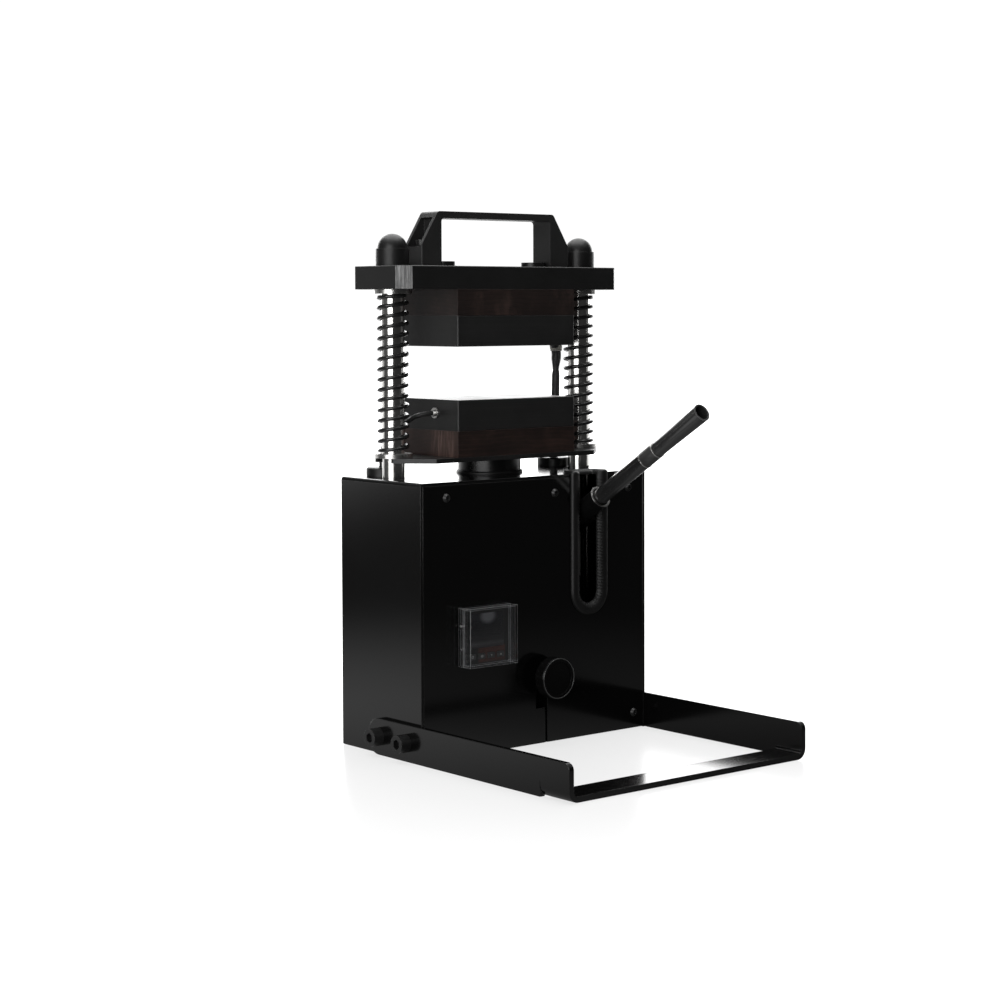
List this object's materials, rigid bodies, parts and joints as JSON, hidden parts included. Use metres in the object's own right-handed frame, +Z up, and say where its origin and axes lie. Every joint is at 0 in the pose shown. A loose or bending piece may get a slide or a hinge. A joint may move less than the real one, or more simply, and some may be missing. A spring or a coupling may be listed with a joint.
{
  "type": "manual heated platen press",
  "caption": "Benchtop hydraulic hand press: a lever-pumped jack lifts a heated lower platen on guide rods against a fixed heated upper platen.",
  "frame": {"origin": "on the bench, midway between the guide rods, in the plane of their axes", "axes": "+Z up along the guide rods, X along the front with the pump lever on the +X side, -Y towards the user"},
  "size_m": [0.2866, 0.3122, 0.468],
  "materials": {
    "black_powder_coat": "semi-gloss powder coat",
    "polished_steel": "polished hard chrome",
    "zinc_steel": "bright zinc",
    "black_screw": "black oxide",
    "black_rubber": "matte moulded rubber",
    "black_anodised": "satin black",
    "stained_wood": "dark brown, open grain",
    "dark_plate": "dark hard anodised",
    "handle_plastic": "fine moulded texture",
    "cable_sleeve": "heat-resistant sleeve",
    "spring_black": "black oiled spring steel",
    "cast_grey": "machined casting",
    "jack_paint": "gloss paint",
    "clear_plastic": "clear polycarbonate",
    "control_plastic": "fine texture",
    "key_plastic": "satin keys",
    "knob_plastic": "gloss moulded",
    "lever_paint": "gloss paint",
    "brass_wear": "turned",
    "rocker_plastic": "gloss red",
    "relay_plastic": "moulded"
  },
  "bodies": {
    "frame": {"base_block": "cast_grey", "guide_rods": "polished_steel", "rod_bolts": "black_screw", "rod_end_caps": "black_rubber", "crosshead": "black_anodised", "carry_handle": "handle_plastic", "handle_screws": "black_screw", "upper_insulator": "stained_wood", "upper_plate": "dark_plate", "upper_platen_bolts": "black_screw", "upper_heaters": "zinc_steel", "thermocouple": "zinc_steel", "upper_heater_cable": "cable_sleeve", "upper_spring_washers": "zinc_steel", "left_spring": "spring_black", "right_spring": "spring_black", "jack_base": "cast_grey", "jack_cylinder": "zinc_steel", "jack_reservoir": "jack_paint", "reservoir_cap": "cast_grey", "pump_body": "cast_grey", "pump_links": "zinc_steel", "link_pins": "zinc_steel", "housing_shell": "black_powder_coat", "front_panel": "black_powder_coat", "rear_panel": "black_powder_coat", "panel_rails": "black_powder_coat", "panel_screws": "black_screw", "slot_trim": "black_rubber", "ram_wiper": "black_rubber", "cable_glands": "black_rubber", "tray_stand": "black_powder_coat", "tray_bolts": "black_screw", "controller_case": "control_plastic", "cover_frame": "clear_plastic", "cover_hinge_pins": "zinc_steel", "relay": "relay_plastic", "power_inlet": "control_plastic", "switch_housing": "control_plastic"},
    "platen_carriage": {"carrier_plate": "black_anodised", "lower_insulator": "stained_wood", "lower_plate": "dark_plate", "lower_platen_bolts": "black_screw", "lower_heater": "zinc_steel", "lower_heater_cable": "cable_sleeve", "lower_spring_washers": "zinc_steel", "ram_head": "black_anodised", "ram": "polished_steel"},
    "lever_yoke": {"lever_socket": "lever_paint"},
    "lever": {"lever_lower_tube": "lever_paint", "lever_upper_tube": "lever_paint"},
    "plunger": {"pump_plunger": "zinc_steel"},
    "release_valve": {"valve_stem": "brass_wear", "release_knob": "knob_plastic"},
    "control_cover": {"cover_lid": "clear_plastic"},
    "key_set": {"set_key": "key_plastic"},
    "key_shift": {"shift_key": "key_plastic"},
    "key_down": {"down_key": "key_plastic"},
    "key_up": {"up_key": "key_plastic"},
    "rocker": {"power_rocker": "rocker_plastic"}
  },
  "joints": [
    {"name": "platen_lift", "type": "slide", "parent": "frame", "child": "platen_carriage", "axis": [0, 0, 1], "range_m": [0, 0.045], "deforming": ["left_spring", "right_spring"]},
    {"name": "lever_swing", "type": "hinge", "parent": "frame", "child": "lever_yoke", "pos_m": [0.06, -0.02, 0.17704], "axis": [-1, 0, 0], "range_deg": [-60, 15]},
    {"name": "lever_pull", "type": "slide", "parent": "lever_yoke", "child": "lever", "axis": [0, -0.849, 0.5284], "range_m": [0, 0.04]},
    {"name": "plunger_stroke", "type": "slide", "parent": "frame", "child": "plunger", "axis": [0, 0, 1], "range_m": [-0.0221, 0.006]},
    {"name": "valve_turn", "type": "hinge", "parent": "frame", "child": "release_valve", "pos_m": [0.0075, -0.0666, 0.06], "axis": [0, -1, 0], "range_deg": [0, 540]},
    {"name": "cover_swing", "type": "hinge", "parent": "frame", "child": "control_cover", "pos_m": [-0.0882, -0.0727, 0.10325], "axis": [0, 0, -1], "range_deg": [0, 110]},
    {"name": "set_press", "type": "slide", "parent": "frame", "child": "key_set", "axis": [0, 1, 0], "range_m": [0, 0.0006]},
    {"name": "shift_press", "type": "slide", "parent": "frame", "child": "key_shift", "axis": [0, 1, 0], "range_m": [0, 0.0006]},
    {"name": "down_press", "type": "slide", "parent": "frame", "child": "key_down", "axis": [0, 1, 0], "range_m": [0, 0.0006]},
    {"name": "up_press", "type": "slide", "parent": "frame", "child": "key_up", "axis": [0, 1, 0], "range_m": [0, 0.0006]},
    {"name": "rocker_tip", "type": "hinge", "parent": "frame", "child": "rocker", "pos_m": [0.06, 0.0467, 0.134], "axis": [1, 0, 0], "range_deg": [0, 16]}
  ],
  "couplings": [
    {"joint": "plunger_stroke", "follows": "lever_swing", "m_per_rad": 0.021}
  ]
}
